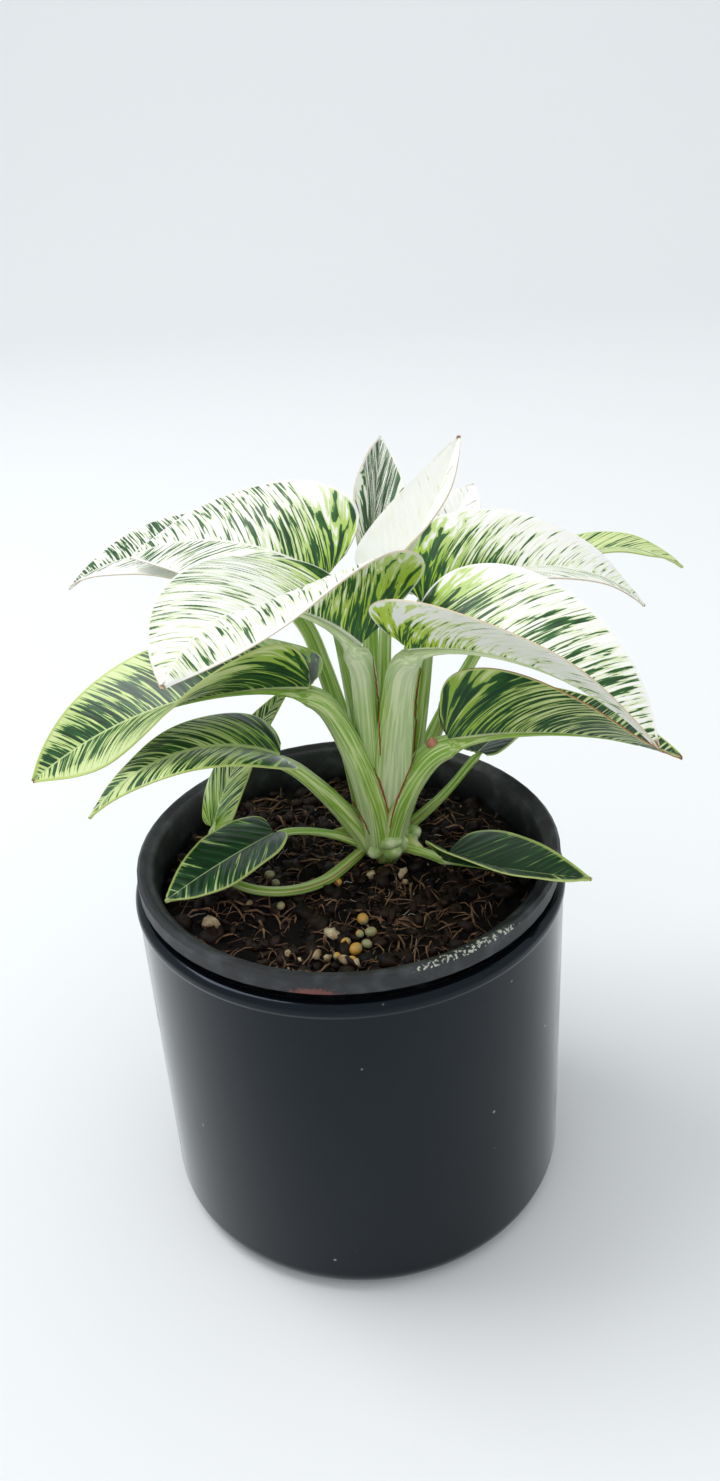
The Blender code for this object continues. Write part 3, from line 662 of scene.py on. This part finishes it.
def stalkLine(row, steps):
    # points of the stalk with the headings there
    foot, (turnFrom, length, pitchLow, pitchHigh, turn) = row[0], row[1]
    points, angles = [Vector(foot) * mm], [math.radians(turnFrom)]
    for k in range(steps):
        share = (k + 0.5) / steps
        angle = math.radians(turnFrom + turn * share)
        points.append(points[-1] + heading(angle, math.radians(
            pitchLow + (pitchHigh - pitchLow) * share)) * length * mm / steps)
        angles.append(math.radians(turnFrom + turn * (k + 1) / steps))
    return points, angles


class bladeFrame:
    # a flat leaf that is bent along its rib, folded, rolled and curled
    def __init__(self, row):
        self.row = row
        self.turn, self.pitchBase, self.pitchTip, self.bend, length, half = row[3]
        self.length, self.half = length * mm, half * mm
        self.start = math.radians(row[1][0] + row[1][4] + self.turn)
        # the part sums the rib in 40 steps, from a stalk of 8
        self.rib = [stalkLine(row, 8)[0][-1]]
        for k in range(40):
            share = (k + 0.5) / 40
            self.rib.append(self.rib[-1] + heading(*self.lean(share)) * self.length / 40)

    def lean(self, share):
        return (self.start + math.radians(self.bend) * share,
                math.radians(self.pitchBase + (self.pitchTip - self.pitchBase) * share))

    def axes(self, share):
        angle, pitch = self.lean(share)
        forward = heading(angle, pitch)
        side = Vector((-math.sin(angle), math.cos(angle), 0.0))
        up = forward.cross(side)
        roll = self.row[5]
        roll = math.radians(roll[0] + (roll[1] - roll[0]) * share)
        return (forward, side * math.cos(roll) + up * math.sin(roll),
                up * math.cos(roll) - side * math.sin(roll))

    def ribPoint(self, share):
        cell = min(39, int(share * 40))
        return self.rib[cell].lerp(self.rib[cell + 1], share * 40 - cell)

    def place(self, along, across):
        share = min(1.0, max(0.0, along))
        forward, side, up = self.axes(share)
        fold = math.radians(self.row[4][0] + (self.row[4][1] - self.row[4][0]) * share)
        curl = math.radians(self.row[6])
        reach = abs(across) / self.half
        out = self.half * (math.sin(fold) - math.sin(fold - curl * reach)) / curl
        rise = self.half * (math.cos(fold - curl * reach) - math.cos(fold)) / curl
        return (self.ribPoint(share) + forward * (along - share) * self.length
                + side * math.copysign(out, across) + up * rise)


def leafOutline(share):
    along = share - 0.28 * math.sin(math.pi * share) * (1 - share) ** 2
    return along, math.sin(math.pi * share ** 0.58) ** 0.9


def veinSpot(along, across, length, lean):
    # where a side vein through this point leaves the rib, and how far out on it the point is:
    # the veins lean to the tip by a steady angle and bow, and fan out behind the junction
    x, bow = along * length, 0.010 * across * across
    foot = x - lean * across - bow
    slope = lean + 0.010 * across
    if foot >= 0:
        return foot, across * math.hypot(1.0, slope)
    return -9.0 * (math.atan2(across, x) - math.atan2(1.0, slope)), math.hypot(x, across)


def makeLeaf(index, name, row):
    look, form, blade = {**usualMarks, **marks[name]}, leafForm, bladeFrame(row)
    length, half = row[3][4], row[3][5]
    bm = bmesh.new()
    vein, paint, reachLayer = (bm.verts.layers.float_vector.new(text) for text in ("vein",
            "paint", "reach"))
    group = bm.verts.layers.deform.verify()
    bmesh.ops.create_grid(bm, x_segments=form["alongSteps"], y_segments=form["acrossSteps"],
            size=1.0)
    start = 1.4 / length
    seed = index * 7.31
    lift = {}
    for vert in bm.verts:
        u, v = (vert.co.x + 1) / 2, max(-1.0, min(1.0, vert.co.y))
        share = start + (form["tipShare"] - start) * u ** 1.25
        edgeAlong, edgeWidth = leafOutline(share)
        t = abs(v)
        across = v * edgeWidth * half
        vert.co = blade.place(share + (edgeAlong - share) * t, across * mm)
        along, down = veinSpot(share + (edgeAlong - share) * t, abs(across), length, look["sweep"])
        vert[vein] = (along + seed * 13, math.copysign(down, v), seed)
        side = 0 if v > 0 else 1
        blend = min(1.0, t * 6)
        green = look["green"][side] * blend + sum(look["green"]) / 2 * (1 - blend)
        green += look["base"] * max(0.0, 1 - share / look["baseReach"]) * (1 - 0.3 * t)
        green += look["edge"][side] * max(0.0, (t - 0.55) / 0.45) + look["tip"] * share
        limeShare = look["lime"][side] * (0.45 + 0.85 * max(0.0, 1 - share / 0.45))
        vert[paint] = (green, min(1.0, limeShare), t)
        toEdge = (1 - t) * max(edgeWidth * half, 0.01)
        toTip = (form["tipShare"] - share) * length + abs(across) * 0.3
        vert[reachLayer] = (toEdge / look["margin"], abs(across) / (look["rib"] * (1 - 0.6 *
                share)), toTip / look["brown"] if look["brown"] else 9.0)
        rib = max(0.0, 1 - abs(across) / 1.6)
        swell = rib * (1 - 0.5 * share)
        thick = form["edgeThick"] + (form["ribThick"] - form["edgeThick"]) * swell
        vert[group][0] = thick / form["ribThick"]
        # low waves along the side veins, a shallow groove over the rib, a wavering margin
        wave = math.cos(2 * math.pi * along / form["veinSpacing"])
        calm = min(1.0, t * 4) * min(1.0, (1 - t) * 5)
        waver = noise.noise(Vector((share * 5 + seed, v * 1.5, seed))) * t * t
        lift[vert] = (form["veinDepth"] * wave * calm - 0.35 * swell +
                form["waver"] * 2 * waver) * mm
    bm.normal_update()
    normals = {vert: vert.normal.copy() for vert in bm.verts}
    for vert in bm.verts:
        vert.co += normals[vert] * lift[vert]
    for edge in bm.edges:
        if edge.is_boundary:
            edge.smooth = False
    white = name in whiteLeaves
    pale = white or look["pale"]
    edge = redEdge if look["red"] else whiteEdge if pale else greenEdge
    piece = finishPiece(name.replace("leaf_", "blade_"), bm, (paleSkins if pale else greenSkins) +
            [edge], [name])
    piece.vertex_groups.new(name="thickness")
    wall = piece.modifiers.new("thickness", "SOLIDIFY")
    wall.thickness = form["ribThick"] * mm
    wall.offset = 0.0
    wall.vertex_group = "thickness"
    wall.material_offset = 1
    wall.material_offset_rim = 2


for index, (name, row) in enumerate(leaves.items()):
    makeLeaf(index, name, row)
print("leaves made:", len(leaves))

stalkForm = {"sides": 24, "rings": 26, "ribRings": 16, "ribReach": 0.8, "wing": 0.28,
             "wingReach": 0.5, "kneeReach": 8.0, "kneePasses": 14,
             # how much the sheath of the broad stalks swells below
             "swell": {"leaf_lower_left": 0.32, "leaf_lower_right": 0.26,
                       "leaf_front_right": 0.30, "leaf_low_left": 0.30,
                       "leaf_front_left": -0.12},
             # height and radius of the short crown that the stalks sheathe
             "crown": ((103.0, 7.8), (108.0, 8.6), (112.0, 9.0), (115.0, 9.2), (118.0, 8.6),
                       (121.0, 7.4), (124.0, 6.2), (125.5, 4.0))}


def makeStalkSkin():
    # leaf stalk: smooth waxy skin, pale green with long whitish streaks; sheath edges dry red
    material, tree, shader = newMaterial("leafStalkSkin")
    place, sheath = (addNode(tree, "Attribute", {}, attribute_name=text)["Vector"] for text in
            ("stalk", "sheath"))
    wing = addNode(tree, "SeparateXYZ", {"Vector": sheath})
    # streaks 0.8 mm apart that run the whole stalk, and broad clouds
    streak, cloud = (addNode(tree, "TexNoise", {"Scale": 1.0, "Detail": detail, "Vector":
            addNode(tree, "Mapping", {"Scale": stretch, "Vector": place})[0]})["Fac"]
            for stretch, detail in (((1.3, 1.3, 0.025), 4), ((0.2, 0.2, 0.07), 2)))
    # painted light: the outer, lower side of each stalk is painted grey-white, as it looks lit
    # from below
    down = addNode(tree, "SeparateXYZ", {"Vector": place})["Y"]
    under = addNode(tree, "MapRange", {"From Min": -0.5, "From Max": -5.5, "To Max": 0.45,
            "Value": down}, interpolation_type="SMOOTHSTEP")[0]
    # the top of a stalk pales to the white of its blade, the crown end is a deeper green
    pale, top, low = (addNode(tree, "MapRange", {"From Min": start, "From Max": end,
            "To Max": most, "Value": value})[0] for value, start, end, most in (
            (streak, 0.44, 0.60, 0.75), (wing["Z"], 0.55, 1.0, 0.85), (wing["Y"], 16, 0, 0.5)))
    tone = "#5c9426"
    # the grey-white on the lower side is painted light; the other tones are the stalk's own
    for colour, share in (("#a3c94a", cloud), ("#dbe8ac", pale), ("#e2ebcb", under),
                          ("#f3f6e4", top), ("#7da83a", low), ("#8a3a22", wing["X"])):
        tone = addNode(tree, "Mix", {"A": tone, "B": colour, "Factor": share},
                data_type="RGBA")["Result"]
    bump = addNode(tree, "Bump", {"Strength": 0.45, "Distance": 0.4 * mm, "Height": streak})[0]
    setInputs(tree, shader, {"Base Color": tone, "Roughness": 0.38, "IOR": 1.45, "Normal": bump,
            "Subsurface Weight": 0.15, "Subsurface Radius": (1.0, 1.0, 0.4),
            "Subsurface Scale": 2.0 * mm})
    return material


def sweepLayers(bm):
    return (bm.verts.layers.int.new("order"), bm.verts.layers.float_vector.new("stalk"),
            bm.verts.layers.float_vector.new("sheath"))


def sweepRings(bm, rings, layers):
    # rings: lists of (point, stalk coordinate, sheath value), all with the same count
    order, place, sheath = layers
    loop = bmesh.ops.create_circle(bm, segments=len(rings[0]), radius=1.0)["verts"]
    for k, vert in enumerate(loop):
        vert[order] = k
    edges = list({edge for vert in loop for edge in vert.link_edges})
    for number, ring in enumerate(rings):
        if number:
            loop, edges = extrudeLoop(bm, edges)
        else:
            bmesh.ops.contextual_create(bm, geom=edges)
        for vert in loop:
            vert.co, vert[place], vert[sheath] = ring[vert[order]]
    bmesh.ops.contextual_create(bm, geom=edges)


def stalkPath(name, row, blade):
    # rings of the stalk as point, width, angle and share of the stalk, 1 at the junction
    form, (low, high) = stalkForm, row[2]
    points, angles = stalkLine(row, 8)
    sized = []
    root = crown + Vector((0, 0, max(0.1160, points[0].z - 0.006)))
    if (points[0] - root).length < 0.03:
        sized.append((points[0].lerp(root, 0.8), low * 0.8, angles[0]))
    for k, (point, angle) in enumerate(zip(points, angles)):
        sized.append((point, low + (high - low) * min(1.0, k / 8 * 1.4), angle))
    # round the path off with a spline through the part's own points
    rings, count = [], len(sized)
    for n in range(form["rings"] + 1):
        along = n / form["rings"]
        cell = min(count - 2, int(along * (count - 1)))
        f = along * (count - 1) - cell
        p0, p1 = sized[max(0, cell - 1)], sized[cell]
        p2, p3 = sized[cell + 1], sized[min(count - 1, cell + 2)]
        point = 0.5 * (2 * p1[0] + (p2[0] - p0[0]) * f + (2 * p0[0] - 5 * p1[0] + 4 * p2[0] -
                p3[0]) * f * f + (3 * p1[0] - p0[0] - 3 * p2[0] + p3[0]) * f ** 3)
        sheathed = math.sin(math.pi * min(1.0, 0.25 + along * 0.75)) ** 0.8
        width = (p1[1] + (p2[1] - p1[1]) * f) * (1 + form["swell"].get(name, 0.0) * sheathed)
        rings.append([point, width, p1[2] + (p2[2] - p1[2]) * f, along])
    # past the junction the stalk runs on under the blade as its midrib
    for n in range(1, form["ribRings"] + 1):
        share = form["ribReach"] * (n / form["ribRings"]) ** 1.3
        size = high * (0.3 + 0.7 * math.exp(-share / 0.05))
        size = max(0.22, size * (1 - share / form["ribReach"]))
        point = blade.ribPoint(share) - blade.axes(share)[2] * (size * 0.72 + 0.45) * mm
        rings.append([point, size, blade.lean(share)[0], 1 + share])
    # ease the knee where the stalk turns into the blade
    knee = rings[form["rings"]][0].copy()
    for _ in range(form["kneePasses"]):
        eased = [ring[0].copy() for ring in rings]
        for k in range(1, len(rings) - 1):
            near = math.exp(-(((rings[k][0] - knee).length / mm) / form["kneeReach"]) ** 2)
            middle = (rings[k - 1][0] + rings[k + 1][0]) / 2
            eased[k] = rings[k][0].lerp(middle, 0.5 * near)
        for ring, point in zip(rings, eased):
            ring[0] = point
    return rings


def makeStalks():
    form = stalkForm
    bm = bmesh.new()
    layers = sweepLayers(bm)
    turns = [2 * math.pi * n / form["sides"] for n in range(form["sides"])]
    for index, (name, row) in enumerate(leaves.items()):
        pallor = 0.75 if name in whiteLeaves else 0.3
        rings = stalkPath(name, row, bladeFrame(row))
        swept, total, last = [], 0.0, None
        for k, (point, width, angle, share) in enumerate(rings):
            before, after = rings[max(0, k - 1)][0], rings[min(len(rings) - 1, k + 1)][0]
            forward = (after - before).normalized()
            side = Vector((-math.sin(angle), math.cos(angle), 0.0))
            side = (side - forward * side.dot(forward)).normalized()
            up = forward.cross(side)
            total += (point - last).length / mm if last else 0
            last = point
            fade = max(0.0, 1 - share / form["wingReach"]) if share < 1 else 0
            ring = []
            for turn in turns:
                # the sheath stands up as two edges with a hollow between them
                edge = math.exp(-((math.degrees(abs(turn - math.pi / 2)) - 50) / 14) ** 2)
                hollow = math.exp(-(math.degrees(turn - math.pi / 2) / 26) ** 2)
                size = width * (1 + form["wing"] * fade * edge - 0.16 * hollow)
                spot = point + (side * math.cos(turn) + up * 0.8 * math.sin(turn)) * size * mm
                red = min(1.0, max(0.0, edge - 0.55) * 2.2) * min(1.0, fade * 2.5)
                place = (math.cos(turn) * width, math.sin(turn) * width, total + index * 31)
                ring.append((spot, place, (red, total, min(1.0, share) * pallor)))
            swept.append(ring)
        sweepRings(bm, swept, layers)
    swept = []
    for z, radius in form["crown"]:
        ring = []
        for turn in turns:
            rough = 1 + 0.06 * noise.noise(Vector((math.cos(turn) * 2, math.sin(turn) * 2, z / 3)))
            flat = heading(turn, 0) * radius * rough
            flat.z = z
            ring.append((crown + flat * mm, tuple(flat), (0.0, 3.0, 0.0)))
        swept.append(ring)
    sweepRings(bm, swept, layers)
    bmesh.ops.recalc_face_normals(bm, faces=bm.faces)
    skinTree = BVHTree.FromBMesh(bm)
    finishPiece("leafStalks", bm, [makeStalkSkin()], ["stem"], 60)
    return skinTree


stalkTree = makeStalks()


def stalkSpot(px, py):
    # where the line of sight through a pixel meets the stalks
    return stalkTree.ray_cast(Vector(camera["place"]), sightLine(px, py).normalized())[0]


# dry red-brown edges of the leaf sheaths, as pixels of the photograph, laid on the stalks
sheathEdges = {"radius": 0.34, "lines": (
    ((372, 655), (375, 675), (377, 690), (378.5, 705), (379.5, 725), (380, 742), (380.5, 757)),
    ((421, 668), (418, 685), (416, 700), (416, 720), (415, 740), (414, 755)),
    ((416, 752), (409, 770), (403, 785), (397, 800), (392.5, 815), (389.5, 830)),
    ((374, 768), (379, 780), (383, 792), (386, 804), (388, 815)),
    ((330, 775), (341, 786), (351, 799), (359, 811), (365, 823), (370, 836)))}


def makeSheathEdges():
    bm = bmesh.new()
    for line in sheathEdges["lines"]:
        runs = [[]]  # a new run starts where the line jumps to another stalk
        for (x0, y0), (x1, y1) in zip(line, line[1:]):
            steps = max(2, int(math.hypot(x1 - x0, y1 - y0) / 1.6))
            for k in range(steps):
                share = k / steps
                wobble = 0.8 * noise.noise(Vector((x0 + share, y0 * 0.3 + share * 3, 1.7)))
                spot = stalkSpot(x0 + (x1 - x0) * share + wobble, y0 + (y1 - y0) * share)
                if spot and runs[-1] and (spot - runs[-1][-1]).length > 3 * mm:
                    runs.append([])
                if spot:
                    runs[-1].append(spot)
        for points in runs:
            last = len(points) - 1
            if last > 3:
                taper = [math.sin(math.pi * (0.08 + 0.84 * k / last)) ** 0.5
                        for k in range(last + 1)]
                addStrand(bm, points, [sheathEdges["radius"] * mm * t for t in taper], sides=6)
    bmesh.ops.recalc_face_normals(bm, faces=bm.faces)
    # sheath margin: papery and dried to a red-brown line
    papery = makeMottled("driedSheathMargin", "#7d3322", "#a8603c", 320.0, roughness=0.55,
            ior=1.45)
    finishPiece("sheathMargins", bm, [papery])


bud = {"pixel": (432, 744), "radius": 1.9, "taper": 0.35, "lift": 0.4}


def makeBud():
    # a resting bud: blunt, pink-brown and dull
    skin = makeMottled("restingBudScale", "#8e4a35", "#d2997f", 700.0, roughness=0.5, ior=1.45)
    radius, spot = bud["radius"] * mm, stalkSpot(*bud["pixel"])
    if not spot:
        return
    bm = bmesh.new()
    made = bmesh.ops.create_uvsphere(bm, u_segments=16, v_segments=12, radius=radius)["verts"]
    for vert in made:
        narrow = 1 - bud["taper"] * max(0.0, vert.co.z / radius)
        vert.co.x *= narrow
        vert.co.y *= narrow
        vert.co = vert.co + spot + Vector((0, 0, bud["lift"] * mm))
    finishPiece("restingBud", bm, [skin])


makeSheathEdges()
makeBud()

# knobs round the foot: heading, distance, height and radius in mm, round the crown;
# root buds: pixel, half width and half height; scale leaves: heading, pitch, length, radius
foot = {"knobs": ((262, 9.5, 116.0, 3.0), (292, 10.5, 117.5, 3.2), (318, 10.0, 115.8, 2.8), (236,
        9.5, 115.6, 2.6), (345, 9.5, 116.5, 2.6)), "rootBuds": ((391, 843, 3.7, 2.0), (406, 840,
        2.0, 2.6), (375, 852, 2.4, 2.2), (393, 852, 3.0, 2.2)), "scales": ((205, 22, 17, 2.0),
        (197, 52, 24, 2.4), (310, 2, 15, 1.8)), "level": 116.5}


def makeCrown():
    # young bark of the crown: smooth green humps, mottled green and pale green
    bark = makeMottled("crownBark", "#86ab4e", "#d6e4b4", 260.0, 4.0, (0.35, 0.65), (0.4, 0.5),
            roughness=0.45, ior=1.45)
    bm = bmesh.new()
    for angle, distance, height, radius in foot["knobs"]:
        spot = crown + (heading(math.radians(angle), 0) * distance + Vector((0, 0, height))) * mm
        made = bmesh.ops.create_icosphere(bm, subdivisions=4, radius=radius * mm,
                matrix=Matrix.Translation(spot))["verts"]
        for vert in made:
            away = (vert.co - spot).normalized()
            vert.co += away * radius * mm * 0.14 * noise.noise(vert.co * 420)
    for px, py, wide, tall in foot["rootBuds"]:
        spot = stalkSpot(px, py) or spotOn(px, py, foot["level"] * mm)
        ballOn(bm, spot, 0.25, wide, tall, tall, 4)
    finishPiece("crownKnobs", bm, [bark])

    # thin papery scale leaf, lime green and drying
    papery = makeMottled("papyraceousBudScale", "#9db84f", "#d5dba4", 180.0, 3.0, (0.4, 0.6),
            roughness=0.55, ior=1.4)
    bm = bmesh.new()
    layers = sweepLayers(bm)
    for angle, pitch, length, radius in foot["scales"]:
        angle, pitch = math.radians(angle), math.radians(pitch)
        forward = heading(angle, pitch)
        start = crown + Vector((0, 0, foot["level"] * mm)) + heading(angle, 0) * 4 * mm
        side = Vector((-math.sin(angle), math.cos(angle), 0))
        up = forward.cross(side)
        swept = []
        for k in range(11):
            share = k / 10
            size = radius * (1 + 0.25 * math.sin(math.pi * share)) * (1 - share ** 3 * 0.9)
            middle = start + forward * length * mm * share + up * 0.8 * mm * math.sin(3 * share)
            swept.append([(middle + (side * math.cos(a) + up * 0.75 * math.sin(a)) * size * mm,
                    (0, 0, 0), (0, 0, 0)) for a in [2 * math.pi * n / 16 for n in range(16)]])
        sweepRings(bm, swept, layers)
    bmesh.ops.recalc_face_normals(bm, faces=bm.faces)
    finishPiece("crownScales", bm, [papery])


makeCrown()
print("stalks and crown made")
